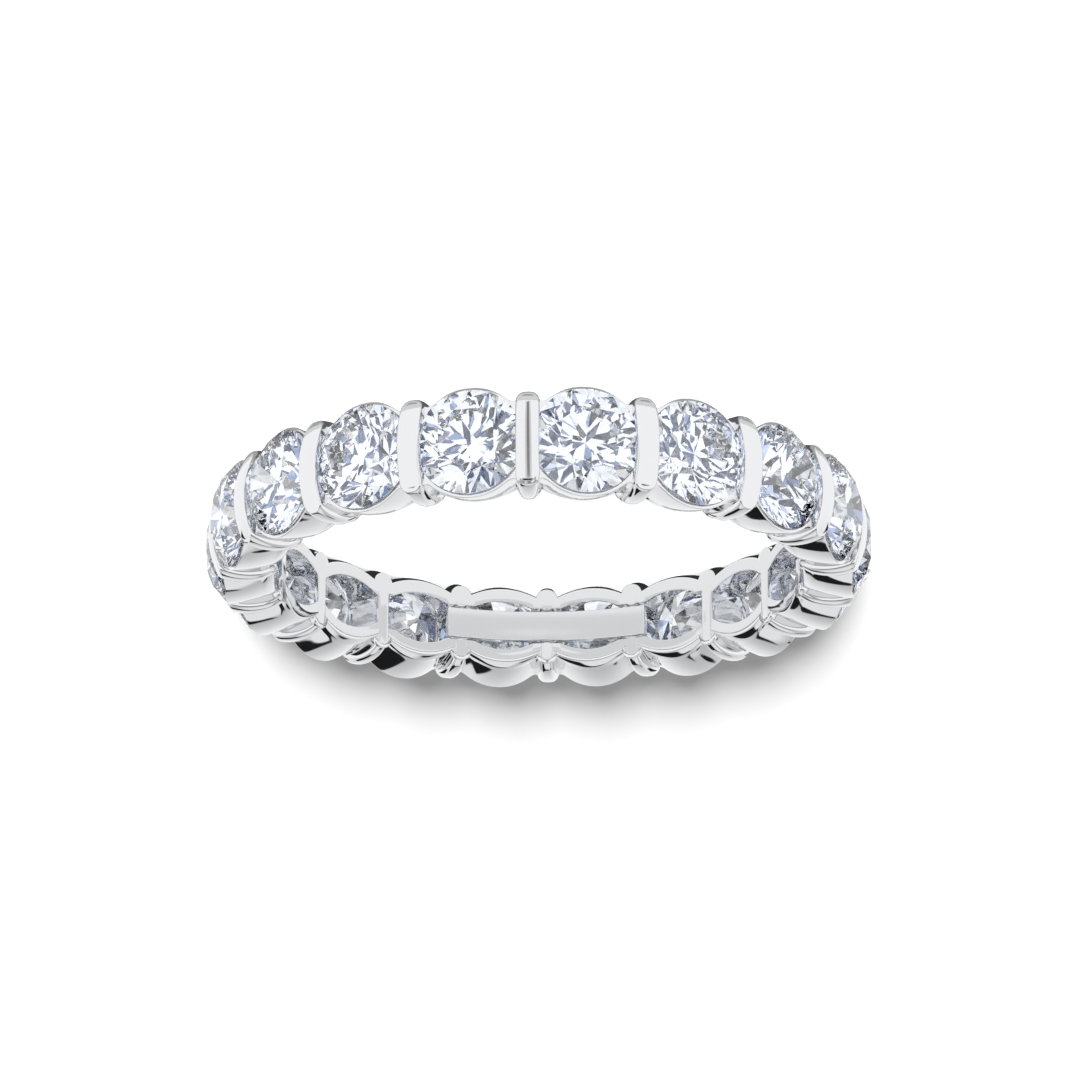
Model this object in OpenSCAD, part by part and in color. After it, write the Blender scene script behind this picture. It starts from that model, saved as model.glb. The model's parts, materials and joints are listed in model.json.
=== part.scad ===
/* [Ring] */
// Diameter of the finger hole
bore_d = 16.5; // [16.3:0.1:17.3]
// Number of stones, and of bars between them
bay_count = 18; // [16:1:18]
// Radial height of the bars above the finger hole
bar_h = 2.11; // [2.05:0.01:2.3]

/* [Stones] */
// Girdle diameter of a stone
stone_d = 3.2; // [3.1:0.02:3.24]
// Height of the middle of the girdle above the finger hole
girdle_h = 1.6; // [1.58:0.01:1.7]
// Thickness of the girdle
girdle_t = 0.06; // [0.04:0.01:0.1]
// Table width as a share of the girdle diameter
table_share = 0.56; // [0.52:0.01:0.62]
// Angle of the crown's kite facets to the girdle plane
crown_angle = 34.5; // [32:0.5:36]
// Angle of the pavilion's main facets to the girdle plane
pavilion_angle = 40.8; // [40:0.2:41.4]
// Distance of the lower halves' inner corners from the axis, as a share of the girdle radius
half_share = 0.24; // [0.2:0.01:0.3]
// Gap left between a stone and its metal
seat_gap = 0.03; // [0.02:0.01:0.05]

/* [Bars] */
// Width of a bar at its outer face
bar_w = 0.7; // [0.6:0.02:0.76]
// Width of a bar at the finger hole
bar_inner_w = 0.42; // [0.36:0.02:0.5]
// Greatest length of a bar across the band
bar_len = 3.1; // [3.0:0.02:3.2]
// Drop of the outer face from its middle to its ends
bar_crown = 0.48; // [0.36:0.02:0.54]
// Radius of the dome at each end of a bar, seen from the front
bar_dome = 0.44; // [0.42:0.02:0.6]
// Diameter of the nubs that the bars end in on the rails
nub_d = 0.8; // [0.7:0.02:0.86]

/* [Collars and rails] */
// Width of the band over its collars, the height at which it lies
band_w = 3.42; // [3.36:0.02:3.46]
// Height of a collar's rim above the finger hole
rim_h = 1.52; // [1.46:0.01:1.54]
// Radial thickness of the rails
rail_t = 0.4; // [0.34:0.02:0.46]
// Width of the band over the rails at the finger hole, at the middle of a lobe
rail_w = 2.5; // [2.4:0.02:2.56]
// Width of a window at the middle of a lobe
window_w = 1.66; // [1.6:0.02:1.74]

/* [Sizing plate] */
// Width of the plate
plate_w = 1.01; // [0.9:0.01:1.04]
// Radial thickness of the plate
plate_t = 0.27; // [0.22:0.01:0.3]
// Share of a bay by which the plate runs on past its outer bars' middles
plate_over = 0.16; // [0.12:0.01:0.24]
// Width of the recess in the bars that the plate lies in
plate_recess_w = 1.15; // [1.1:0.01:1.2]

/* [Hidden] */
$fn = 96;
bay = 360 / bay_count;
front = -90;
bore_r = bore_d / 2;
girdle_r = bore_r + girdle_h;
bar_r = bore_r + bar_h;
rim_r = bore_r + rim_h;
rail_r = bore_r + rail_t;
stone_r = stone_d / 2;
lie = band_w / 2;
// shapes run past each other, or past the cut that ends them, by this much
over = 0.2;
inside = bore_r - 2 * over;
// a collar fills this share of its bay and ends inside the bars, and the plate sinks this far into the bars
collar_share = 0.92;
weld = 0.02;

// each wall of a bay follows a tilted round bar: its radius, then its half width at the finger hole or flare
lobe_curve = 1.75;
lobe_foot = 1.28;
rail_curve = 2.4;
rail_flare = 0.23;
window_curve = 2.3;
window_flare = 0.47;

// the ends of a bar bulge most at this height above the finger hole, on this radius
end_h = 1.05;
end_curve = 2.08;
// half the length of a bar at the finger hole, and the slope at which it widens from there
foot_z = 1.22;
foot_slope = 0.6;
// half the distance between the two nubs of a bar, and how far they stand from the finger hole's wall
nub_z = 0.95;
nub_h = 0.36;

table_r = stone_r * table_share;
crown_h = (stone_r - table_r) * tan(crown_angle);
pavilion_h = stone_r * tan(pavilion_angle);
// the lower halves meet between the mains at this radius, and this far above the culet
step = 22.5;
half_r = stone_r * half_share;
half_rise = half_r * cos(step) * tan(pavilion_angle);

function stone_name(i) = str("stone_", i < 10 ? "0" : "", i);
STONES = [for (i = [1 : bay_count]) stone_name(i)];

function stone_angle(i) = front + (i - 0.5) * bay;
function ring(r, z, count, turn) =
    [for (k = [0 : count - 1]) let (a = turn + k * 360 / count) [r * cos(a), r * sin(a), z]];

// turns a piece that points along +X to its place on the ring, which lies on its side
module around(angle) { translate([0, 0, lie]) rotate([0, 0, angle]) children(); }

// stands a shape drawn along +Z on the stone's own axis, +X
module on_axis() { rotate([0, 90, 0]) children(); }

// a bay of metal between two tilted round walls, mirrored above and below the middle of the band
module lobe(curve, x1, z1, x2, z2) {
    tilt = atan((z2 - z1) / (x2 - x1));
    x0 = inside - 2 * over;
    z0 = z1 + (x0 - x1) * tan(tilt) - curve / cos(tilt);
    long = (bar_r + curve * abs(sin(tilt)) + over - x0) / cos(tilt);
    intersection_for (side = [0, 1])
        mirror([0, 0, side]) translate([x0, 0, z0]) rotate([0, 90 - tilt, 0]) cylinder(r = curve, h = long);
}

// the slice of the ring that a collar fills, out to the flat at distance x
module bay_slice(x) {
    half = x * tan(bay / 2 * collar_share);
    start = inside - over;
    near = start * tan(bay / 2 * collar_share);
    linear_extrude(height = 2 * band_w, center = true)
        polygon([[start, -near], [x, -half], [x, half], [start, near]]);
}

// a collar wall with the rail at its foot, open to the window
module collar() {
    difference() {
        union() {
            intersection() {
                lobe(lobe_curve, bore_r, lobe_foot, rim_r, lie);
                bay_slice(rim_r);
            }
            intersection() {
                lobe(rail_curve, bore_r, rail_w / 2, rail_r, rail_w / 2 + rail_flare);
                bay_slice(rail_r);
            }
        }
        lobe(window_curve, bore_r, window_w / 2, rim_r, window_w / 2 + window_flare);
    }
}

// a round bar laid across the band, for the curved ends and face of a bar
module across(x, z, r) {
    translate([x, 0, z]) rotate([90, 0, 0]) cylinder(r = r, h = 2 * bar_w, center = true);
}

module bar() {
    half_len = bar_len / 2;
    face_curve = (half_len * half_len + bar_crown * bar_crown) / (2 * bar_crown);
    top = bar_r + over;
    half_in = bar_inner_w / 2;
    half_out = bar_w / 2;
    foot = foot_z - (bore_r - inside) * foot_slope;
    head = foot_z + (top - bore_r) * foot_slope;
    dome_z = half_len - bar_dome;
    intersection() {
        across(bar_r - face_curve, 0, face_curve);
        across(bore_r + end_h, half_len - end_curve, end_curve);
        across(bore_r + end_h, end_curve - half_len, end_curve);
        rotate([90, 0, 0]) linear_extrude(height = 2 * bar_w, center = true)
            polygon([[inside, -foot], [top, -head], [top, head], [inside, foot]]);
        linear_extrude(height = 2 * band_w, center = true)
            polygon([[inside, -half_in], [bore_r, -half_in], [girdle_r, -half_out], [top, -half_out],
                     [top, half_out], [girdle_r, half_out], [bore_r, half_in], [inside, half_in]]);
        translate([inside - over, 0, 0]) on_axis() linear_extrude(height = top) {
            square([2 * dome_z, 2 * bar_dome], center = true);
            for (side = [-1, 1]) translate([side * dome_z, 0]) circle(r = bar_dome);
        }
    }
    for (side = [-1, 1]) translate([inside, 0, side * nub_z])
        on_axis() cylinder(d = nub_d, h = bore_r + nub_h - inside);
}

// the room that a stone takes in the metal: the shape it sweeps on its axis, with the gap all round
module seat() {
    r = stone_r + seat_gap;
    low = girdle_r - (girdle_t + seat_gap) / 2;
    high = girdle_r + (girdle_t + seat_gap) / 2;
    tip = low - r * tan(pavilion_angle);
    top = high + (r - table_r) * tan(crown_angle);
    on_axis() rotate_extrude()
        polygon([[0, tip], [half_r, tip + half_rise], [r, low], [r, high], [table_r, top], [0, top]]);
}

// a flat strip bent along the finger hole, centred on the back of the ring
module strip(r1, r2, w, half_angle) {
    rotate([0, 0, -front - half_angle]) rotate_extrude(angle = 2 * half_angle)
        translate([r1, -w / 2]) square([r2 - r1, w]);
}

module plate(w, t) { translate([0, 0, lie]) strip(inside, bore_r + t, w, bay * (1 + plate_over)); }

// one bay of the setting: a collar and the bar after it, with room for the stones on both sides of the bar
module bay_metal() {
    difference() {
        union() {
            collar();
            rotate([0, 0, bay / 2]) bar();
        }
        for (turn = [0, bay]) rotate([0, 0, turn]) seat();
    }
}

module setting() {
    color("gainsboro") difference() {
        union() {
            difference() {
                union() for (i = [1 : bay_count]) around(stone_angle(i)) bay_metal();
                plate(plate_recess_w, plate_t - weld);
            }
            difference() {
                plate(plate_w, plate_t);
                for (i = [1 : bay_count]) around(stone_angle(i)) seat();
            }
        }
        translate([0, 0, -over]) cylinder(r = bore_r, h = band_w + 2 * over);
    }
}

// a round brilliant on the Z axis with its girdle's middle at z = 0
module brilliant() {
    up = girdle_t / 2;
    culet_z = -up - pavilion_h;
    star_r = (table_r * cos(step) + stone_r) / 2;
    star_z = up + (stone_r - star_r * cos(step)) * tan(crown_angle);
    points = concat(
        ring(table_r, up + crown_h, 8, 0), ring(star_r, star_z, 8, step),
        ring(stone_r, up, 16, 0), ring(stone_r, -up, 16, 0),
        ring(half_r, culet_z + half_rise, 8, step), [[0, 0, culet_z]]);
    table = [[for (k = [7 : -1 : 0]) k]];
    stars = [for (k = [0 : 7]) [k, (k + 1) % 8, 8 + k]];
    kites = [for (k = [0 : 7], side = [0, 1])
        side == 0 ? [k, 8 + k, 16 + 2 * k] : [k, 16 + 2 * k, 8 + (k + 7) % 8]];
    upper = [for (k = [0 : 7], side = [0, 1]) [8 + k, 16 + (2 * k + 1 + side) % 16, 16 + 2 * k + side]];
    girdle = [for (k = [0 : 15]) [16 + k, 16 + (k + 1) % 16, 32 + (k + 1) % 16, 32 + k]];
    lower = [for (k = [0 : 7], side = [0, 1]) [48 + k, 32 + 2 * k + side, 32 + (2 * k + 1 + side) % 16]];
    mains = [for (k = [0 : 7], side = [0, 1])
        side == 0 ? [56, 48 + (k + 7) % 8, 32 + 2 * k] : [56, 32 + 2 * k, 48 + k]];
    polyhedron(points, concat(table, stars, kites, upper, girdle, lower, mains));
}

module stone(i) {
    color("aliceblue") around(stone_angle(i)) translate([girdle_r, 0, 0]) on_axis() brilliant();
}

setting();
for (i = [1 : bay_count]) stone(i);
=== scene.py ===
import json
import math

import bmesh
import bpy
import numpy as np
from mathutils import Matrix, Vector


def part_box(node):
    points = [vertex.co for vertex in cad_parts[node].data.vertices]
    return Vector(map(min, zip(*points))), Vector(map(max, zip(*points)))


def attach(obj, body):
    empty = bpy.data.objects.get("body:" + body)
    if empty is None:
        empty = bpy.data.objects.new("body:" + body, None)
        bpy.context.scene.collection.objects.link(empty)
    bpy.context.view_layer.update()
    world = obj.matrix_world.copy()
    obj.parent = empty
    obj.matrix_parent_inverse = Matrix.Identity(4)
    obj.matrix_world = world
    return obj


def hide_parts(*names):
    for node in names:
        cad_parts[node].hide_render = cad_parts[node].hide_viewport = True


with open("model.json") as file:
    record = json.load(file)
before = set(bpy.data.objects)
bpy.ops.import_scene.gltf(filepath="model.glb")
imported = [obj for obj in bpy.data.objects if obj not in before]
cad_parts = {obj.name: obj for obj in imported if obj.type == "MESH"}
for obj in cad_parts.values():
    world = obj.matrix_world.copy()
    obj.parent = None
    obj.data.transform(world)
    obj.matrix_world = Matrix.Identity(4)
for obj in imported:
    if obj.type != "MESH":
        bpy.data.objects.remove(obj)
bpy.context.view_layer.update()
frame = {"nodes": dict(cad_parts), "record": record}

scene = bpy.context.scene
mm = 0.001
weld = 0.0005  # points nearer to each other than this, in millimetres, are made one

# the ring lies on its side: its axis is upright, the front bar points to -Y and the sizing plate is at +Y
# every piece is drawn once in millimetres, pointing along +X, and then repeated round the ring
settingLow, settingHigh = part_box("setting")
bore = frame["record"]["mounts"][0]["dims"]["r_mm"]
stoneNodes = [name for name in frame["nodes"] if name.startswith("stone_")]
bayCount = len(stoneNodes)
bay = 2 * math.pi / bayCount
front = -math.pi / 2
barTop = -settingLow.y / mm
halfBand = (settingHigh.z - settingLow.z) / 2 / mm
ringCentre = Vector((0, 0, (settingHigh.z + settingLow.z) / 2))
print("frame: bore", bore, "mm,", bayCount, "stones, bars out to", round(barTop, 2), "mm")


# meshes

# quads between closed rings of points
def gridFaces(ringCount, pointCount):
    ring, point = np.meshgrid(np.arange(ringCount - 1), np.arange(pointCount), indexing="ij")
    after = (point + 1) % pointCount
    low = ring * pointCount
    high = low + pointCount
    return np.stack([low + point, low + after, high + after, high + point], -1).reshape(-1, 4).tolist()


# a closed smooth skin over rings of points, in millimetres
def makeMesh(name, rings, capped=False):
    rings = np.asarray(rings, float)
    ringCount, pointCount = rings.shape[:2]
    faces = gridFaces(ringCount, pointCount)
    if capped:
        faces.append(list(range(pointCount))[::-1])
        faces.append(list(range((ringCount - 1) * pointCount, ringCount * pointCount)))
    mesh = bpy.data.meshes.new(name)
    mesh.from_pydata(rings.reshape(-1, 3).tolist(), [], faces)
    skin = bmesh.new()
    skin.from_mesh(mesh)
    bmesh.ops.remove_doubles(skin, verts=skin.verts, dist=weld)
    bmesh.ops.dissolve_degenerate(skin, edges=skin.edges, dist=weld)
    bmesh.ops.recalc_face_normals(skin, faces=skin.faces)
    skin.to_mesh(mesh)
    skin.free()
    return mesh


# smooth shading, but for edges sharper than the angle
def smoothed(mesh, degrees):
    mesh.shade_smooth()
    mesh.set_sharp_from_angle(angle=math.radians(degrees))
    return mesh


# several meshes as one
def joined(name, meshes):
    whole = bmesh.new()
    for mesh in meshes:
        whole.from_mesh(mesh)
    result = bpy.data.meshes.new(name)
    whole.to_mesh(result)
    whole.free()
    return result


# a copy of the mesh mirrored in the middle plane of the band
def flipped(mesh):
    other = mesh.copy()
    other.transform(Matrix.Scale(-1, 4, (0, 0, 1)))
    other.flip_normals()
    return other


# the mesh that the holder's modifiers make; the holder goes
def evaluated(holder):
    bpy.context.view_layer.update()
    result = bpy.data.meshes.new_from_object(holder.evaluated_get(bpy.context.evaluated_depsgraph_get()))
    bpy.data.objects.remove(holder)
    return result


# the mesh less each of the cutters
def carved(mesh, cutters):
    holder = bpy.data.objects.new("carving", mesh)
    scene.collection.objects.link(holder)
    tools = []
    for index, cutter in enumerate(cutters):
        tool = bpy.data.objects.new("cutter", cutter)
        scene.collection.objects.link(tool)
        tools.append(tool)
        cut = holder.modifiers.new("cut" + str(index), "BOOLEAN")
        cut.operation = "DIFFERENCE"
        cut.solver = "MANIFOLD"
        cut.object = tool
    result = evaluated(holder)
    for tool in tools:
        bpy.data.objects.remove(tool)
    return result


# repeating round the ring

# a node tree that repeats a piece round the ring, each copy turned a little on its own axis if asked
def roundRingTree():
    tree = bpy.data.node_groups.new("roundTheRing", "GeometryNodeTree")
    nodes, links = tree.nodes, tree.links
    inputs = {
        "Piece": "NodeSocketGeometry", "Count": "NodeSocketInt", "First angle": "NodeSocketFloat",
        "Step": "NodeSocketFloat", "Centre": "NodeSocketVector", "Turn": "NodeSocketFloat",
        "Seed": "NodeSocketInt", "Material": "NodeSocketMaterial",
    }
    for name, kind in inputs.items():
        tree.interface.new_socket(name=name, in_out="INPUT", socket_type=kind)
    tree.interface.new_socket(name="Ring", in_out="OUTPUT", socket_type="NodeSocketGeometry")
    given = nodes.new("NodeGroupInput")
    result = nodes.new("NodeGroupOutput")
    line = nodes.new("GeometryNodeMeshLine")
    line.inputs["Offset"].default_value = (0, 0, 0)
    index = nodes.new("GeometryNodeInputIndex")
    angle = nodes.new("ShaderNodeMath")
    angle.operation = "MULTIPLY_ADD"
    place = nodes.new("ShaderNodeCombineXYZ")
    chance = nodes.new("FunctionNodeRandomValue")
    chance.data_type = "FLOAT"
    spin = nodes.new("ShaderNodeCombineXYZ")
    turned = nodes.new("FunctionNodeRotateRotation")
    turned.rotation_space = "LOCAL"
    copies = nodes.new("GeometryNodeInstanceOnPoints")
    solid = nodes.new("GeometryNodeRealizeInstances")
    finish = nodes.new("GeometryNodeSetMaterial")
    links.new(given.outputs["Count"], line.inputs["Count"])
    links.new(given.outputs["Centre"], line.inputs["Start Location"])
    links.new(index.outputs[0], angle.inputs[0])
    links.new(given.outputs["Step"], angle.inputs[1])
    links.new(given.outputs["First angle"], angle.inputs[2])
    links.new(angle.outputs[0], place.inputs["Z"])
    links.new(given.outputs["Turn"], chance.inputs[3])
    links.new(given.outputs["Seed"], chance.inputs["Seed"])
    links.new(chance.outputs[1], spin.inputs["X"])
    links.new(place.outputs[0], turned.inputs["Rotation"])
    links.new(spin.outputs[0], turned.inputs["Rotate By"])
    links.new(line.outputs[0], copies.inputs["Points"])
    links.new(given.outputs["Piece"], copies.inputs["Instance"])
    links.new(turned.outputs[0], copies.inputs["Rotation"])
    links.new(copies.outputs[0], solid.inputs[0])
    links.new(solid.outputs[0], finish.inputs["Geometry"])
    links.new(given.outputs["Material"], finish.inputs["Material"])
    links.new(finish.outputs[0], result.inputs[0])
    return tree


ringTree = roundRingTree()
ringSockets = {item.name: item.identifier for item in ringTree.interface.items_tree if item.in_out == "INPUT"}


# count copies of a mesh in millimetres, from the bay place first on, as a mesh in metres
def roundTheRing(mesh, material, first, count, turn=0.0, seed=0):
    mesh.transform(Matrix.Scale(mm, 4))
    holder = bpy.data.objects.new("repeat", mesh)
    scene.collection.objects.link(holder)
    repeat = holder.modifiers.new("repeat", "NODES")
    repeat.node_group = ringTree
    values = {
        "Count": count, "First angle": front + first * bay, "Step": bay, "Centre": ringCentre,
        "Turn": turn, "Seed": seed, "Material": material,
    }
    for name, value in values.items():
        repeat[ringSockets[name]] = value
    return evaluated(holder)


def addPiece(name, mesh, replaced):
    piece = bpy.data.objects.new(name, mesh)
    scene.collection.objects.link(piece)
    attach(piece, "root")
    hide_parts(*replaced)
    print("piece", name, "with", len(mesh.polygons), "faces")


# materials

polishSizes = {"patchDetail": 4, "waveDetail": 2, "waveHeight": 0.02}


# soft polishing marks: a roughness and a faint waviness that change over the metal
def polishGroup():
    group = bpy.data.node_groups.new("polishMarks", "ShaderNodeTree")
    for name in ("Roughness", "Variation", "Size", "Depth"):
        group.interface.new_socket(name=name, in_out="INPUT", socket_type="NodeSocketFloat")
    group.interface.new_socket(name="Roughness", in_out="OUTPUT", socket_type="NodeSocketFloat")
    group.interface.new_socket(name="Normal", in_out="OUTPUT", socket_type="NodeSocketVector")
    nodes, links = group.nodes, group.links
    given = nodes.new("NodeGroupInput")
    result = nodes.new("NodeGroupOutput")
    place = nodes.new("ShaderNodeTexCoord")
    patches = nodes.new("ShaderNodeTexNoise")
    patches.inputs["Detail"].default_value = polishSizes["patchDetail"]
    spread = nodes.new("ShaderNodeMath")
    spread.operation = "MULTIPLY_ADD"
    waves = nodes.new("ShaderNodeTexNoise")
    waves.inputs["Detail"].default_value = polishSizes["waveDetail"]
    bump = nodes.new("ShaderNodeBump")
    bump.inputs["Distance"].default_value = polishSizes["waveHeight"] * mm
    links.new(place.outputs["Object"], patches.inputs["Vector"])
    links.new(place.outputs["Object"], waves.inputs["Vector"])
    links.new(given.outputs["Size"], patches.inputs["Scale"])
    links.new(given.outputs["Size"], waves.inputs["Scale"])
    links.new(patches.outputs["Fac"], spread.inputs[0])
    links.new(given.outputs["Variation"], spread.inputs[1])
    links.new(given.outputs["Roughness"], spread.inputs[2])
    links.new(given.outputs["Depth"], bump.inputs["Strength"])
    links.new(waves.outputs["Fac"], bump.inputs["Height"])
    links.new(spread.outputs[0], result.inputs["Roughness"])
    links.new(bump.outputs["Normal"], result.inputs["Normal"])
    return group


polishMarks = polishGroup()
metalFinishes = {
    "platinum": {
        "colour": (0.86, 0.865, 0.88), "Roughness": 0.035, "Variation": 0.05, "Size": 700, "Depth": 0.06,
    },
    "plateMetal": {
        "colour": (0.86, 0.865, 0.88), "Roughness": 0.12, "Variation": 0.10, "Size": 900, "Depth": 0.12,
    },
}
diamondFinish = {"colour": (0.98, 0.99, 1), "roughness": 0, "refraction": 2.42}


def polishedMetal(name):
    finish = metalFinishes[name]
    material = bpy.data.materials.new(name)
    material.use_nodes = True
    nodes, links = material.node_tree.nodes, material.node_tree.links
    shader = nodes["Principled BSDF"]
    shader.inputs["Base Color"].default_value = (*finish["colour"], 1)
    shader.inputs["Metallic"].default_value = 1
    marks = nodes.new("ShaderNodeGroup")
    marks.node_tree = polishMarks
    for socket in ("Roughness", "Variation", "Size", "Depth"):
        marks.inputs[socket].default_value = finish[socket]
    links.new(marks.outputs["Roughness"], shader.inputs["Roughness"])
    links.new(marks.outputs["Normal"], shader.inputs["Normal"])
    return material


def cutDiamond():
    material = bpy.data.materials.new("diamond")
    material.use_nodes = True
    shader = material.node_tree.nodes["Principled BSDF"]
    shader.inputs["Base Color"].default_value = (*diamondFinish["colour"], 1)
    shader.inputs["Roughness"].default_value = diamondFinish["roughness"]
    shader.inputs["IOR"].default_value = diamondFinish["refraction"]
    shader.inputs["Transmission Weight"].default_value = 1
    return material


platinum = polishedMetal("platinum")
plateMetal = polishedMetal("plateMetal")
diamond = cutDiamond()
print("materials made")


# bars

barSizes = {
    "width": 0.70, "innerWidth": 0.42, "length": 3.10, "crown": 0.48, "roll": 0.035, "corner": 0.80,
    "fillet": 0.075, "innerFillet": 0.03, "bulge": 1.05, "bulgeCurve": 2.08, "foot": 1.22, "footSlope": 0.6,
    "ease": 0.10, "easeRun": 0.30, "sharp": 40,
    "cornerPoints": 7, "sidePoints": 13, "endPoints": 3, "floorRings": 4, "wallRings": 13, "faceRings": 6,
}

# the bars and collars leave room for the stones, so the stones' sizes come first
stoneSizes = {
    "radius": 1.60, "girdle": 1.60, "girdleThickness": 0.06, "table": 0.56, "crownAngle": 34.5,
    "pavilionAngle": 40.8, "half": 0.24, "gap": 0.03, "sides": 96, "weld": 1e-4, "cutReach": 1e-6,
    "turn": 45, "seed": 5,
}
girdleRadius = bore + stoneSizes["girdle"]


# a rectangle with round corners: the core point and the direction away from it, for each point
def pillOutline(cornerPoints, sidePoints, endPoints):
    rows = []
    for quarter, (signY, signZ) in enumerate([(1, 1), (-1, 1), (-1, -1), (1, -1)]):
        start = quarter * math.pi / 2
        for step in range(cornerPoints):
            angle = start + step / (cornerPoints - 1) * math.pi / 2
            rows.append((signY, signZ, math.cos(angle), math.sin(angle)))
        along = endPoints if quarter % 2 == 0 else sidePoints
        end = start + math.pi / 2
        for step in range(1, along + 1):
            share = 1 - 2 * step / (along + 1)
            core = (signY * share, signZ) if quarter % 2 == 0 else (signY, signZ * share)
            rows.append((*core, math.cos(end), math.sin(end)))
    return np.array(rows).T


def barMesh():
    size = barSizes
    coreY, coreZ, awayY, awayZ = pillOutline(size["cornerPoints"], size["sidePoints"], size["endPoints"])
    halfLength = size["length"] / 2
    faceCurve = (halfLength**2 + size["crown"]**2) / (2 * size["crown"])

    def halfWidthAt(x):
        return np.interp(x, [bore, girdleRadius], [size["innerWidth"] / 2, size["width"] / 2])

    def halfLengthAt(x):
        foot = size["foot"] + (x - bore) * size["footSlope"]
        rise = x - bore - size["bulge"]
        end = halfLength - size["bulgeCurve"] + np.sqrt(size["bulgeCurve"]**2 - rise**2)
        return np.minimum(foot, end)

    # the outer face: crowned along the bar, rolled a little across it, and eased down at its two ends
    def faceAt(y, z):
        drop = faceCurve - np.sqrt(faceCurve**2 - z**2)
        ease = np.maximum(np.abs(z) - halfLength + size["easeRun"], 0) / size["easeRun"]
        return barTop - drop - size["roll"] * (2 * y / size["width"])**2 - size["ease"] * ease**2

    def outlineAt(x, inset):
        width, length = halfWidthAt(x), halfLengthAt(x)
        corner = size["corner"] * width
        radius = np.maximum(corner - inset, 0)
        shrink = np.maximum(inset - corner, 0)
        y = coreY * (width - corner - shrink) + awayY * radius
        z = coreZ * (length - corner - shrink) + awayZ * radius
        return y, z

    rings = []
    innerWidth = size["innerWidth"] / 2
    for inset in np.linspace(innerWidth, size["innerFillet"], size["floorRings"]):
        y, z = outlineAt(bore, inset)
        rings.append((np.sqrt(bore**2 - y**2), y, z))
    floorX = np.sqrt(bore**2 - outlineAt(bore, 0)[0]**2)
    for bend in np.radians([30, 60, 90]):
        x = floorX + size["innerFillet"] * (1 - math.cos(bend))
        rings.append((x, *outlineAt(x, size["innerFillet"] * (1 - math.sin(bend)))))
    # the edge of the face lies on the face, whose height there depends on the edge, so it takes a few rounds
    edge = np.full(coreY.shape, barTop)
    for _ in range(6):
        edge = faceAt(*outlineAt(edge, size["fillet"]))
    wallTop = edge - size["fillet"]
    wallLow = floorX + size["innerFillet"]
    for share in np.linspace(0, 1, size["wallRings"] + 1)[1:]:
        x = wallLow + (wallTop - wallLow) * share
        rings.append((x, *outlineAt(x, 0)))
    for bend in np.radians([22.5, 45, 67.5, 90]):
        x = wallTop + size["fillet"] * math.sin(bend)
        rings.append((x, *outlineAt(x, size["fillet"] * (1 - math.cos(bend)))))
    for inset in np.linspace(size["fillet"], size["width"] / 2, size["faceRings"] + 1)[1:]:
        y, z = outlineAt(edge, inset)
        rings.append((faceAt(y, z), y, z))
    return makeMesh("bar", np.array(rings).transpose(0, 2, 1))


# the room that a stone takes in the metal, at an angle from the bar
def seatMesh(turn):
    size = stoneSizes
    radius = size["radius"] + size["gap"]
    low = girdleRadius - (size["girdleThickness"] + size["gap"]) / 2
    high = girdleRadius + (size["girdleThickness"] + size["gap"]) / 2
    tableRadius = size["radius"] * size["table"]
    tip = low - radius * math.tan(math.radians(size["pavilionAngle"]))
    top = high + (radius - tableRadius) * math.tan(math.radians(size["crownAngle"]))
    angles = np.linspace(0, 2 * math.pi, size["sides"], endpoint=False)
    rings = []
    for x, r in [(tip, 0), (low, radius), (high, radius), (top, tableRadius), (top, 0)]:
        rings.append(np.stack([np.full(angles.shape, x), r * np.cos(angles), r * np.sin(angles)], -1))
    mesh = makeMesh("seat", rings)
    mesh.transform(Matrix.Rotation(turn, 4, "Z"))
    return mesh


# nubs

nubSizes = {
    "radius": 0.37, "height": 0.36, "middle": 0.92, "dome": 0.26, "lift": 0.006, "sides": 28, "sharp": 60,
}


def nubMesh():
    size = nubSizes
    angles = np.linspace(0, 2 * math.pi, size["sides"], endpoint=False)
    # rings on the finger hole's wall, by their share of the radius and their rise, and then up over the dome
    foot = [(0, 0), (0.6, 0), (0.93, 0), (1, 0.03)]
    profile = [(share * size["radius"], rise, True) for share, rise in foot]
    shoulder = size["height"] - size["dome"]
    profile.append((size["radius"], shoulder, False))
    for bend in np.radians([18, 36, 54, 72, 90]):
        reach = size["radius"] - size["dome"] * (1 - math.cos(bend))
        profile.append((reach, shoulder + size["dome"] * math.sin(bend), False))
    profile.append((0, size["height"], False))
    rings = []
    for reach, rise, onWall in profile:
        y = reach * np.cos(angles)
        z = size["middle"] + reach * np.sin(angles)
        x = np.sqrt(bore**2 - y**2) + size["lift"] + rise if onWall else np.full(angles.shape, bore + rise)
        rings.append(np.stack([x, y, z], -1))
    return makeMesh("nub", rings)


# collars and rails

collarSizes = {
    "share": 0.92, "stations": 41, "rim": 1.52, "rail": 0.40,
    "lobeCurve": 1.75, "lobeFoot": 1.28, "railCurve": 3.2, "railWidth": 2.50, "railFlare": 0.23,
    "windowCurve": 2.3, "windowWidth": 1.66, "windowFlare": 0.47, "swell": 0.07, "lift": 0.003,
    "web": 0.30, "blendFrom": 0.12, "blendTo": 0.40, "crowd": 0.92, "edgeSteps": 6, "sharp": 50,
    "boreEdges": [0.04, 0.09], "rimEdges": [0.04, 0.03],
}
collarRises = (0.18, 0.23, 0.28, 0.33, 0.38, 0.44, 0.52, 0.62, 0.74, 0.86, 1.0, 1.14, 1.28, 1.4)
windowShares = (0.05, 0.1, 0.15, 0.2, 0.3, 0.5, 0.75)
mostReach = 0.45  # the largest share of a side that an eased corner may take


# how high above the band's middle a tilted round wall stands
def tiltedWall(x, y, curve, foot, run, flare):
    tilt = math.atan2(flare, run)
    drop = curve - np.sqrt(np.maximum(curve**2 - y**2, 0))
    return foot + (x - bore) * math.tan(tilt) - drop / math.cos(tilt)


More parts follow.
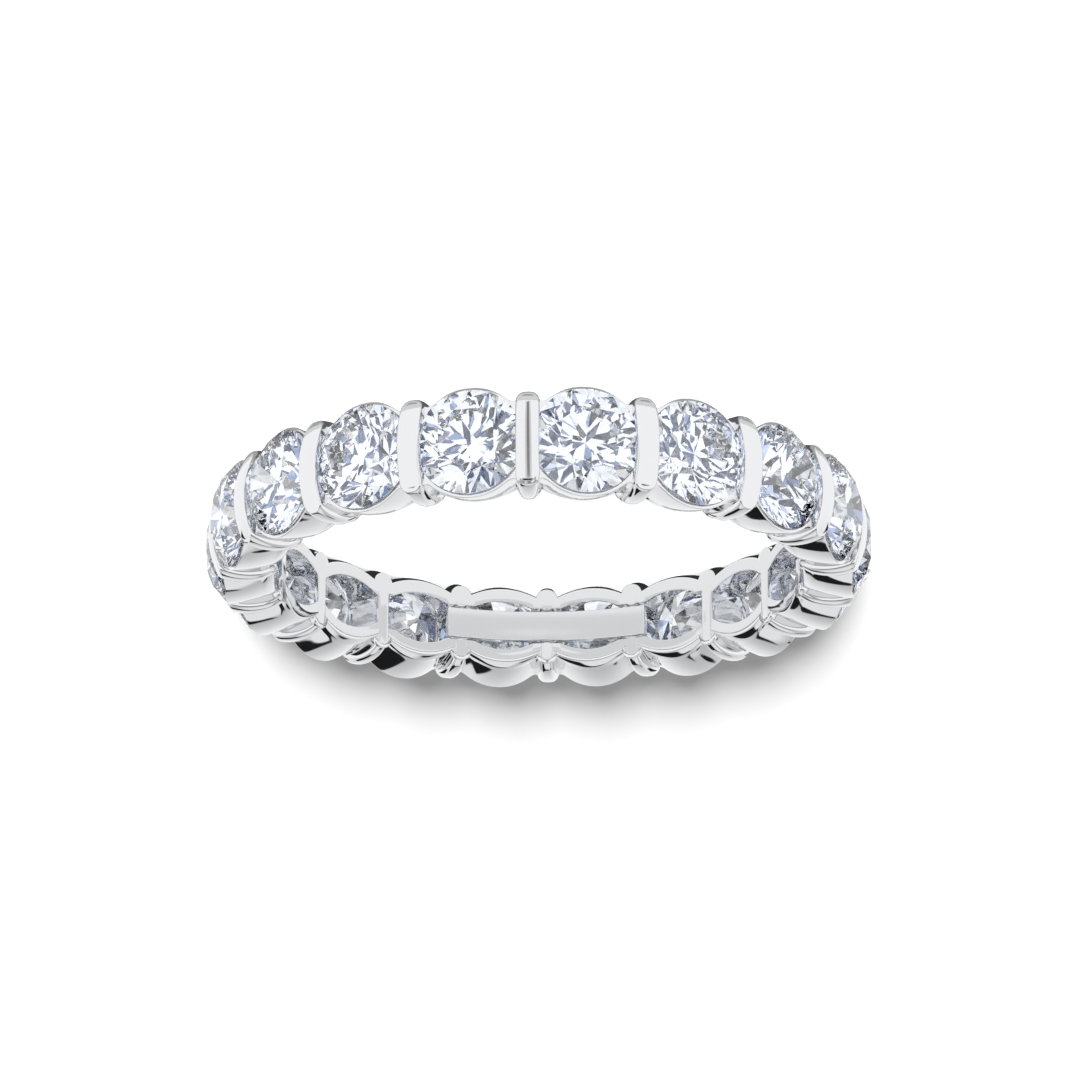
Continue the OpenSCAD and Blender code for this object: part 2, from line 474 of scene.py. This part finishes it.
# a loop of points through corners, each eased by a small curve; corners is stations x corners x 3
def roundedLoop(corners, radii, steps):
    before = np.roll(corners, 1, axis=1)
    after = np.roll(corners, -1, axis=1)
    back = before - corners
    ahead = after - corners
    backLength = np.linalg.norm(back, axis=-1, keepdims=True)
    aheadLength = np.linalg.norm(ahead, axis=-1, keepdims=True)
    points = []
    for k, radius in enumerate(radii):
        here = corners[:, k]
        if radius == 0:
            points.append(here)
            continue
        reach = np.minimum(radius, np.minimum(backLength[:, k], aheadLength[:, k]) * mostReach)
        start = here + back[:, k] / backLength[:, k] * reach
        end = here + ahead[:, k] / aheadLength[:, k] * reach
        for s in np.linspace(0, 1, steps):
            points.append(start * (1 - s)**2 + here * 2 * s * (1 - s) + end * s**2)
    return np.stack(points, axis=1)


def collarMesh():
    size = collarSizes
    # the stations crowd together towards the bars, where the wall curves most
    angle = np.sin(np.linspace(-1, 1, size["stations"]) * math.pi / 2 * size["crowd"])
    angle = angle / angle[-1] * bay / 2 * size["share"]
    slope = np.tan(angle)
    boreX = (bore + size["lift"]) * np.cos(angle)
    rimX = np.full(angle.shape, bore + size["rim"])
    seatRadius = stoneSizes["radius"] + stoneSizes["gap"]
    seatLow = girdleRadius - (stoneSizes["girdleThickness"] + stoneSizes["gap"]) / 2
    seatSlope = math.tan(math.radians(stoneSizes["pavilionAngle"]))

    def lobe(x):
        flare = halfBand - size["lobeFoot"]
        return tiltedWall(x, x * slope, size["lobeCurve"], size["lobeFoot"], size["rim"], flare)

    # how far the lobe climbs at the bars' side walls in a small hollow curve
    def web(x):
        width = np.interp(x, [bore, girdleRadius], [barSizes["innerWidth"] / 2, barSizes["width"] / 2])
        gap = (math.tan(bay / 2) - np.abs(slope)) * x * math.cos(bay / 2) - width
        into = np.clip(1 - gap / size["web"], 0, 1)
        return size["web"] * (1 - np.sqrt(1 - into**2))

    # the outside of the rail at the finger hole
    def rail(x):
        return tiltedWall(
            x, x * slope, size["railCurve"], size["railWidth"] / 2, size["rail"], size["railFlare"])

    # the side of the window, or of the stone's seat where that is wider
    def inner(x):
        window = tiltedWall(
            x, x * slope, size["windowCurve"], size["windowWidth"] / 2, size["rim"], size["windowFlare"])
        reach = seatRadius - (seatLow - x) / seatSlope
        seat = np.sqrt(np.maximum(np.maximum(reach, 0)**2 - (x * slope)**2, 0))
        return np.maximum(window, seat)

    def point(x, z):
        return np.stack([x, x * slope, z], -1)

    corners = [point(boreX, inner(boreX)), point(boreX, rail(boreX))]
    radii = list(size["boreEdges"])
    for rise in collarRises:
        x = boreX + rise
        share = rise / size["rim"]
        blend = min(max((rise - size["blendFrom"]) / (size["blendTo"] - size["blendFrom"]), 0), 1)
        blend = blend * blend * (3 - 2 * blend)
        outside = lobe(x) + size["swell"] * 4 * share * (1 - share) + web(x) * share**0.5
        corners.append(point(x, rail(x) * (1 - blend) + outside * blend))
        radii.append(0)
    corners.append(point(rimX, lobe(rimX) + web(rimX)))
    corners.append(point(rimX, inner(rimX)))
    radii += size["rimEdges"]
    for share in windowShares:
        x = rimX + (boreX - rimX) * share
        corners.append(point(x, inner(x)))
        radii.append(0)
    loop = roundedLoop(np.stack(corners, axis=1), radii, size["edgeSteps"])
    return makeMesh("collar", loop, capped=True)


# sizing plate

plateSizes = {
    "width": 1.01, "thickness": 0.27, "over": 0.16, "edge": 0.045, "edgeSteps": 5, "stations": 61,
    "recessWidth": 1.21, "recessDepth": 0.25, "recessReach": 0.7, "recessEdge": 0.01125,
    "recessStations": 25, "sharp": 50,
}


# a strip bent along the finger hole, its edges eased by a small radius
def stripMesh(name, low, high, halfWidth, halfAngle, edge, stations):
    first = 0.3 * edge
    turns = [(-halfAngle, edge), (-halfAngle + first / bore, first), (-halfAngle + edge / bore, 0)]
    turns += [(angle, 0) for angle in np.linspace(-halfAngle, halfAngle, stations)[1:-1]]
    turns += [(-angle, inset) for angle, inset in turns[2::-1]]
    angle = np.array([turn for turn, inset in turns])
    inset = np.array([inset for turn, inset in turns])
    inner = low + inset
    outer = high - inset
    side = halfWidth - inset
    corners = np.stack([np.stack([inner, -side], -1), np.stack([inner, side], -1),
                        np.stack([outer, side], -1), np.stack([outer, -side], -1)], axis=1)
    corners = np.concatenate([corners, np.zeros((*corners.shape[:2], 1))], axis=-1)
    loop = roundedLoop(corners, [edge] * 4, plateSizes["edgeSteps"])
    r, z = loop[..., 0], loop[..., 1]
    turn = angle[:, None]
    return makeMesh(name, np.stack([r * np.cos(turn), r * np.sin(turn), z], -1), capped=True)


def plateMesh():
    size = plateSizes
    halfAngle = bay * (1 + size["over"])
    return stripMesh(
        "plate", bore, bore + size["thickness"], size["width"] / 2, halfAngle, size["edge"], size["stations"])


# the room round the sizing plate, long enough for one bay
def recessMesh():
    size = plateSizes
    deep = size["recessDepth"]
    return stripMesh(
        "recess", bore - deep, bore + deep, size["recessWidth"] / 2, bay * size["recessReach"],
        size["recessEdge"], size["recessStations"])


# the metal, put together: the bars and collars at the back are cut for the sizing plate
seats = [seatMesh(-bay / 2), seatMesh(bay / 2)]
plainBar = smoothed(carved(barMesh(), seats), barSizes["sharp"])
backBar = smoothed(carved(plainBar.copy(), [recessMesh()]), barSizes["sharp"])
print("bars cut")

backBars = 3
firstBack = (bayCount - backBars + 1) // 2
frontBars = bayCount - backBars
barsMesh = joined("bars", [
    roundTheRing(plainBar, platinum, firstBack + backBars, frontBars),
    roundTheRing(backBar, platinum, firstBack, backBars),
])
barsMesh.materials.append(platinum)
addPiece("bars", barsMesh, ["setting"])

upperNub = smoothed(nubMesh(), nubSizes["sharp"])
nubPair = joined("nubPair", [upperNub, flipped(upperNub)])
addPiece("nubs", roundTheRing(nubPair, platinum, 0, bayCount), ["setting"])

upperCollar = smoothed(collarMesh(), collarSizes["sharp"])
collarPair = joined("collarPair", [upperCollar, flipped(upperCollar)])
backCollar = smoothed(carved(upperCollar.copy(), [recessMesh()]), collarSizes["sharp"])
backPair = joined("backPair", [backCollar, flipped(backCollar)])
backCollars = backBars + 1
collarsMesh = joined("collars", [
    roundTheRing(collarPair, platinum, firstBack + backBars + 0.5, bayCount - backCollars),
    roundTheRing(backPair, platinum, firstBack - 0.5, backCollars),
])
collarsMesh.materials.append(platinum)
addPiece("collars", collarsMesh, ["setting"])

plate = smoothed(plateMesh(), plateSizes["sharp"])
addPiece("sizing_plate", roundTheRing(plate, plateMetal, bayCount / 2, 1), ["setting"])


# stones

# a round brilliant cut from a disc, one plane for each facet, with its axis along +X
def brilliantMesh():
    size = stoneSizes
    radius = size["radius"]
    up = size["girdleThickness"] / 2
    table = radius * size["table"]
    eighth = math.pi / 4
    half = eighth / 2
    crownSlope = math.tan(math.radians(size["crownAngle"]))
    pavilionSlope = math.tan(math.radians(size["pavilionAngle"]))
    top = up + (radius - table) * crownSlope
    culet = -up - radius * pavilionSlope

    def spot(reach, angle, height):
        return Vector((reach * math.cos(angle), reach * math.sin(angle), height))

    starReach = (table * math.cos(half) + radius) / 2
    starHeight = up + (radius - starReach * math.cos(half)) * crownSlope
    lowReach = radius * size["half"]
    lowHeight = culet + lowReach * math.cos(half) * pavilionSlope
    planes = [(Vector((0, 0, top)), Vector((0, 0, 1)))]

    def facet(a, b, c):
        normal = (b - a).cross(c - a).normalized()
        outward = Vector((a.x + b.x + c.x, a.y + b.y + c.y, 3 * (a.z + b.z + c.z)))
        planes.append((a, normal if normal.dot(outward) > 0 else -normal))

    for k in range(8):
        main = k * eighth
        star = spot(starReach, main + half, starHeight)
        corner = spot(lowReach, main + half, lowHeight)
        facet(spot(table, main, top), spot(table, main + eighth, top), star)
        facet(spot(table, main, top), star, spot(starReach, main - half, starHeight))
        facet(Vector((0, 0, culet)), corner, spot(lowReach, main - half, lowHeight))
        for start in (main, main + half):
            facet(star, spot(radius, start, up), spot(radius, start + half, up))
            facet(corner, spot(radius, start, -up), spot(radius, start + half, -up))
    stone = bmesh.new()
    bmesh.ops.create_cone(
        stone, cap_ends=True, segments=size["sides"], radius1=radius, radius2=radius, depth=4 * radius)
    for point, normal in planes:
        everything = stone.verts[:] + stone.edges[:] + stone.faces[:]
        cut = bmesh.ops.bisect_plane(
            stone, geom=everything, dist=size["cutReach"], plane_co=point, plane_no=normal,
            clear_outer=True)
        rim = [part for part in cut["geom_cut"] if isinstance(part, bmesh.types.BMEdge)]
        bmesh.ops.edgenet_fill(stone, edges=rim)
    bmesh.ops.remove_doubles(stone, verts=stone.verts, dist=size["weld"])
    bmesh.ops.dissolve_degenerate(stone, edges=stone.edges, dist=size["weld"])
    bmesh.ops.recalc_face_normals(stone, faces=stone.faces)
    mesh = bpy.data.meshes.new("brilliant")
    stone.to_mesh(mesh)
    stone.free()
    mesh.transform(Matrix.Translation((girdleRadius, 0, 0)) @ Matrix.Rotation(math.pi / 2, 4, "Y"))
    mesh.shade_flat()
    return mesh


stoneTurn = math.radians(stoneSizes["turn"])
stoneMesh = roundTheRing(brilliantMesh(), diamond, 0.5, bayCount, stoneTurn, stoneSizes["seed"])
addPiece("brilliants", stoneMesh, stoneNodes)
print("stones set")


# floor, light and camera

# floorGlow and holeGlow are painted light: how brightly the floor glows by itself, outside and inside the
# ring
studio = {
    "floor": 1200, "floorWhite": 0.9, "floorGlow": 0.28, "holeGlow": 1.08, "holeGlowIn": 9.0,
    "holeGlowOut": 9.6, "feather": 2.5,
}
lowLight = {"azimuth": 0, "elevation": 12.3, "width": 7, "power": 12.7}

# the sky's grey by the sine of the height
skyStops = [
    (0.0, 0.98), (0.17, 0.94), (0.34, 0.87), (0.5, 0.80), (0.64, 0.70), (0.77, 0.60), (0.87, 0.53),
    (0.905, 0.72), (0.93, 0.87), (1.0, 0.85),
]

# soft boxes and dark gaps round the ring: name, azimuth from the front, elevation, half width and half height
# in degrees, how square they are, and their grey; one without a grey shows the sky itself again
softBoxes = [
    ("front", 0, 5, 108, 36, 8, 1.0),
    ("frontDark", 0, 46, 75, 5, 8, 0.012),
    ("frontGap", 0, 12, 7.5, 36, 8, 0.70),
    ("frontLine", 0, 12, 4, 36, 8, 0.25),
    ("backDark", 155, 51, 44, 18, 5, 0.012),
    ("card", 180, 18, 36, 45, 2.2, None),
    ("leftDark", -137, 53, 7, 10, 2, 0.012),
    ("sideLeft", -133, 3, 9, 20, 8, 0.01),
    ("sideRight", 133, 3, 9, 20, 8, 0.01),
]

# what the stones show instead of the sky: cells of these shades, each from its start on, and towards the back
# of the ring shifted to the darker shades and without their blue
sparkle = {"cells": 2.6, "backFrom": 0.05, "backTo": 0.5, "backShift": -0.32, "backDull": -0.92}
sparkleStops = [
    (0.0, (0.004, 0.005, 0.008)), (0.07, (0.03, 0.055, 0.14)), (0.18, (0.13, 0.175, 0.31)),
    (0.28, (0.30, 0.40, 0.66)), (0.40, (0.60, 0.54, 0.50)), (0.44, (0.60, 0.73, 1.0)),
    (0.55, (1.16, 1.2, 1.28)),
]


# the way to a light or to the camera, by degrees from the front and above the floor
def towards(azimuth, elevation):
    a, e = math.radians(azimuth), math.radians(elevation)
    return Vector((math.sin(a) * math.cos(e), -math.cos(a) * math.cos(e), math.sin(e)))


# a mask that is one inside a patch of the sky and fades over its edge
def softBoxGroup():
    group = bpy.data.node_groups.new("softBox", "ShaderNodeTree")
    for name in ("Azimuth", "Elevation", "Width", "Height", "Square", "Feather"):
        group.interface.new_socket(name=name, in_out="INPUT", socket_type="NodeSocketFloat")
    group.interface.new_socket(name="Mask", in_out="OUTPUT", socket_type="NodeSocketFloat")
    nodes, links = group.nodes, group.links
    given = nodes.new("NodeGroupInput")
    result = nodes.new("NodeGroupOutput")
    place = nodes.new("ShaderNodeTexCoord")
    split = nodes.new("ShaderNodeSeparateXYZ")
    links.new(place.outputs["Generated"], split.inputs[0])

    def step(operation, *values):
        node = nodes.new("ShaderNodeMath")
        node.operation = operation
        for socket, value in zip(node.inputs, values):
            if isinstance(value, (int, float)):
                socket.default_value = value
            else:
                links.new(value, socket)
        return node.outputs[0]

    back = step("MULTIPLY", split.outputs["Y"], -1)
    turn = step("DEGREES", step("ARCTAN2", split.outputs["X"], back))
    rise = step("DEGREES", step("ARCSINE", split.outputs["Z"]))
    across = step("ABSOLUTE", step("WRAP", step("SUBTRACT", turn, given.outputs["Azimuth"]), 180, -180))
    above = step("ABSOLUTE", step("SUBTRACT", rise, given.outputs["Elevation"]))
    powers = []
    for away, half in ((across, "Width"), (above, "Height")):
        powers.append(step("POWER", step("DIVIDE", away, given.outputs[half]), given.outputs["Square"]))
    reach = step("POWER", step("ADD", *powers), step("DIVIDE", 1, given.outputs["Square"]))
    smaller = step("MINIMUM", given.outputs["Width"], given.outputs["Height"])
    inside = step("MULTIPLY", step("SUBTRACT", 1, reach), smaller)
    fade = nodes.new("ShaderNodeMapRange")
    fade.interpolation_type = "SMOOTHSTEP"
    links.new(inside, fade.inputs["Value"])
    links.new(given.outputs["Feather"], fade.inputs["From Max"])
    links.new(fade.outputs["Result"], result.inputs["Mask"])
    return group


def addRamp(nodes, stops):
    ramp = nodes.new("ShaderNodeValToRGB")
    while len(ramp.color_ramp.elements) < len(stops):
        ramp.color_ramp.elements.new(0.5)
    for element, (position, colour) in zip(ramp.color_ramp.elements, stops):
        element.position = position
        element.color = (*colour, 1)
    return ramp


# the sky with its soft boxes for the metal, sparkle for the stones, black for the floor and white for the eye
def addWorld():
    world = bpy.data.worlds.new("studio")
    world.use_nodes = True
    scene.world = world
    nodes, links = world.node_tree.nodes, world.node_tree.links
    place = nodes.new("ShaderNodeTexCoord")
    split = nodes.new("ShaderNodeSeparateXYZ")
    links.new(place.outputs["Generated"], split.inputs[0])
    ramp = addRamp(nodes, [(height, (grey, grey, grey)) for height, grey in skyStops])
    links.new(split.outputs["Z"], ramp.inputs[0])
    colour = ramp.outputs[0]
    patch = softBoxGroup()
    for name, *sizes, grey in softBoxes:
        mask = nodes.new("ShaderNodeGroup")
        mask.node_tree = patch
        mask.label = name
        for socket, value in zip(("Azimuth", "Elevation", "Width", "Height", "Square"), sizes):
            mask.inputs[socket].default_value = value
        mask.inputs["Feather"].default_value = studio["feather"]
        mix = nodes.new("ShaderNodeMix")
        mix.data_type = "RGBA"
        links.new(mask.outputs["Mask"], mix.inputs["Factor"])
        links.new(colour, mix.inputs["A"])
        if grey is None:
            links.new(ramp.outputs[0], mix.inputs["B"])
        else:
            mix.inputs["B"].default_value = (grey, grey, grey, 1)
        colour = mix.outputs["Result"]
    cells = nodes.new("ShaderNodeTexVoronoi")
    cells.inputs["Scale"].default_value = sparkle["cells"]
    pick = nodes.new("ShaderNodeSeparateColor")
    tones = addRamp(nodes, sparkleStops)
    tones.color_ramp.interpolation = "CONSTANT"
    behind = nodes.new("ShaderNodeMapRange")
    behind.interpolation_type = "SMOOTHSTEP"
    behind.inputs["From Min"].default_value = sparkle["backFrom"]
    behind.inputs["From Max"].default_value = sparkle["backTo"]
    darker = nodes.new("ShaderNodeMath")
    darker.operation = "MULTIPLY_ADD"
    darker.inputs[1].default_value = sparkle["backShift"]
    duller = nodes.new("ShaderNodeMath")
    duller.operation = "MULTIPLY_ADD"
    duller.inputs[1].default_value = sparkle["backDull"]
    duller.inputs[2].default_value = 1
    tint = nodes.new("ShaderNodeHueSaturation")
    links.new(place.outputs["Generated"], cells.inputs["Vector"])
    links.new(cells.outputs["Color"], pick.inputs[0])
    links.new(split.outputs["Y"], behind.inputs["Value"])
    links.new(behind.outputs["Result"], darker.inputs[0])
    links.new(pick.outputs[0], darker.inputs[2])
    links.new(darker.outputs[0], tones.inputs[0])
    links.new(behind.outputs["Result"], duller.inputs[0])
    links.new(duller.outputs[0], tint.inputs["Saturation"])
    links.new(tones.outputs[0], tint.inputs["Color"])
    path = nodes.new("ShaderNodeLightPath")
    for ray, shade in (("Is Transmission Ray", tint.outputs[0]), ("Is Diffuse Ray", (0, 0, 0, 1)),
                       ("Is Camera Ray", (1, 1, 1, 1))):
        seen = nodes.new("ShaderNodeMix")
        seen.data_type = "RGBA"
        links.new(path.outputs[ray], seen.inputs["Factor"])
        links.new(colour, seen.inputs["A"])
        if isinstance(shade, tuple):
            seen.inputs["B"].default_value = shade
        else:
            links.new(shade, seen.inputs["B"])
        colour = seen.outputs["Result"]
    links.new(colour, nodes["Background"].inputs["Color"])


# a flat dull sheet that glows, in millimetres
def addSheet(name, materialName, corners, faces, height, white, glow):
    mesh = bpy.data.meshes.new(name)
    mesh.from_pydata([(x * mm, y * mm, height * mm) for x, y in corners], [], faces)
    sheet = bpy.data.objects.new(name, mesh)
    scene.collection.objects.link(sheet)
    material = bpy.data.materials.new(materialName)
    material.use_nodes = True
    shader = material.node_tree.nodes["Principled BSDF"]
    shader.inputs["Base Color"].default_value = (white, white, white, 1)
    shader.inputs["Roughness"].default_value = 1
    shader.inputs["Specular IOR Level"].default_value = 0
    shader.inputs["Emission Color"].default_value = (glow, glow, glow, 1)
    shader.inputs["Emission Strength"].default_value = 1
    mesh.materials.append(material)
    return sheet


def square(half):
    return [(-half, -half), (half, -half), (half, half), (-half, half)]


# white paper with painted light: it glows a little everywhere, which lightens its shadows, and more inside
# the ring, where the glow fills in the ring's shadow so that the floor seen through it stays white
def addFloor():
    floor = addSheet("floor", "paper", square(studio["floor"]), [(0, 1, 2, 3)], 0, studio["floorWhite"], 1)
    paper = floor.data.materials[0].node_tree
    nodes, links = paper.nodes, paper.links
    place = nodes.new("ShaderNodeTexCoord")
    reach = nodes.new("ShaderNodeVectorMath")
    reach.operation = "LENGTH"
    glow = nodes.new("ShaderNodeMapRange")
    glow.interpolation_type = "SMOOTHSTEP"
    glow.inputs["From Min"].default_value = studio["holeGlowIn"] * mm
    glow.inputs["From Max"].default_value = studio["holeGlowOut"] * mm
    glow.inputs["To Min"].default_value = studio["holeGlow"]
    glow.inputs["To Max"].default_value = studio["floorGlow"]
    links.new(place.outputs["Object"], reach.inputs[0])
    links.new(reach.outputs["Value"], glow.inputs["Value"])
    links.new(glow.outputs["Result"], nodes["Principled BSDF"].inputs["Emission Strength"])
    floor.visible_transmission = False
    floor.visible_glossy = False


# a broad soft light that falls on the floor and throws the ring's shadow
def addLowLight():
    data = bpy.data.lights.new("lowLight", "SUN")
    data.angle = math.radians(lowLight["width"])
    data.energy = lowLight["power"]
    light = bpy.data.objects.new("lowLight", data)
    scene.collection.objects.link(light)
    away = towards(lowLight["azimuth"], lowLight["elevation"])
    light.location = away * 0.5
    light.rotation_euler = away.to_track_quat("Z", "Y").to_euler()
    light.visible_glossy = False
    light.visible_transmission = False


# painted reflections that the metal mirrors instead of the floor: a white table, a grey line in front of the
# front bar, dark strips under the band as painted shade, and rings of light and grey in the finger hole as
# painted light and shade
shineSizes = {"table": 1200, "tableGrey": 1.0, "lineNear": 0.05, "lineFar": 600, "lift": 0.02}

# name, half width at the bar, degrees by which it widens, grey and level
# painted reflection: grey wedges on the floor in front of the front bar, mirrored as a dark line down its
# face
shineLines = [("lineEdge", 0.10, 6.2, 0.70, 2), ("lineMiddle", 0.045, 2.8, 0.25, 3)]

# name, inner and outer radius, first and last degree, and grey
# painted shade: dark sheets under the band, darkest nearest it, stand in for the shade there as the metal
# mirrors it
shineStrips = [
    ("underBack", 8.5, barTop - 0.04, 15, 165, 0.03), ("underFront", 8.5, 9.75, 180, 360, 0.12),
    ("nearFront", 9.75, 10.1, 180, 360, 0.40), ("edgeFront", 10.1, barTop, 180, 360, 0.72),
]

# name, inner and outer radius, and grey
# painted light and shade: the finger hole's floor as the metal mirrors it, greyer between a lighter edge and
# centre
shineRings = [
    ("holeEdge", 5.2, 8.12, 0.90), ("holeMiddle", 1.3, 5.2, 0.72), ("holeCentre", 0.01, 1.3, 0.90),
]


# a flat shape on the floor that glows evenly, a painted reflection that only the metal's shine sees
def addShineCard(name, corners, faces, grey, lift):
    card = addSheet(name, name, corners, faces, lift, 0, grey)
    card.visible_camera = False
    card.visible_diffuse = False
    card.visible_transmission = False
    card.visible_shadow = False


def addShineCards():
    size = shineSizes
    addShineCard("table", square(size["table"]), [(0, 1, 2, 3)], size["tableGrey"], size["lift"] / 2)
    near, far = barTop + size["lineNear"], barTop + size["lineFar"]
    for name, narrow, degrees, grey, level in shineLines:
        wide = narrow + size["lineFar"] * math.tan(math.radians(degrees))
        corners = [(-wide, -far), (wide, -far), (narrow, -near), (-narrow, -near)]
        addShineCard(name, corners, [(0, 1, 2, 3)], grey, size["lift"] * level)

    def arcs(inner, outer, turns):
        return [(r * math.cos(turn), r * math.sin(turn)) for r in (inner, outer) for turn in turns]

    for name, inner, outer, first, last, grey in shineStrips:
        turns = np.radians(np.linspace(first, last, 91))
        addShineCard(name, arcs(inner, outer, turns), gridFaces(2, len(turns))[:-1], grey, size["lift"])
    turns = np.linspace(0, 2 * math.pi, 97)[:-1]
    for name, inner, outer, grey in shineRings:
        addShineCard(name, arcs(inner, outer, turns), gridFaces(2, len(turns)), grey, size["lift"])


# distance in millimetres, angles in degrees, and the ring's centre in pixels of the square frame
cameraSizes = {
    "distance": 129.65, "elevation": 18.6, "azimuth": -1.85, "lens": 137.73, "sensor": 36,
    "centreX": 538.7, "centreY": 546.9, "frame": 1080, "near": 0.005, "far": 20,
}


def addCamera():
    size = cameraSizes
    data = bpy.data.cameras.new("camera")
    camera = bpy.data.objects.new("camera", data)
    scene.collection.objects.link(camera)
    scene.camera = camera
    away = towards(size["azimuth"], size["elevation"])
    right = Vector((0, 0, 1)).cross(away).normalized()
    up = away.cross(right)
    # the photograph is taken with the camera upside down to the ring as it lies
    turn = Matrix((-right, -up, away)).transposed()
    camera.matrix_world = Matrix.Translation(ringCentre + away * size["distance"] * mm) @ turn.to_4x4()
    data.lens = size["lens"]
    data.sensor_width = size["sensor"]
    data.shift_x = (size["frame"] / 2 - size["centreX"]) / size["frame"]
    data.shift_y = (size["centreY"] - size["frame"] / 2) / size["frame"]
    data.clip_start = size["near"]
    data.clip_end = size["far"]


addFloor()
addWorld()
addLowLight()
addShineCards()
addCamera()
scene.view_settings.view_transform = "Standard"
scene.cycles.max_bounces = 24
scene.cycles.caustics_reflective = False
scene.cycles.caustics_refractive = False
scene.cycles.glossy_bounces = 16
scene.cycles.transmission_bounces = 20
print("studio set")
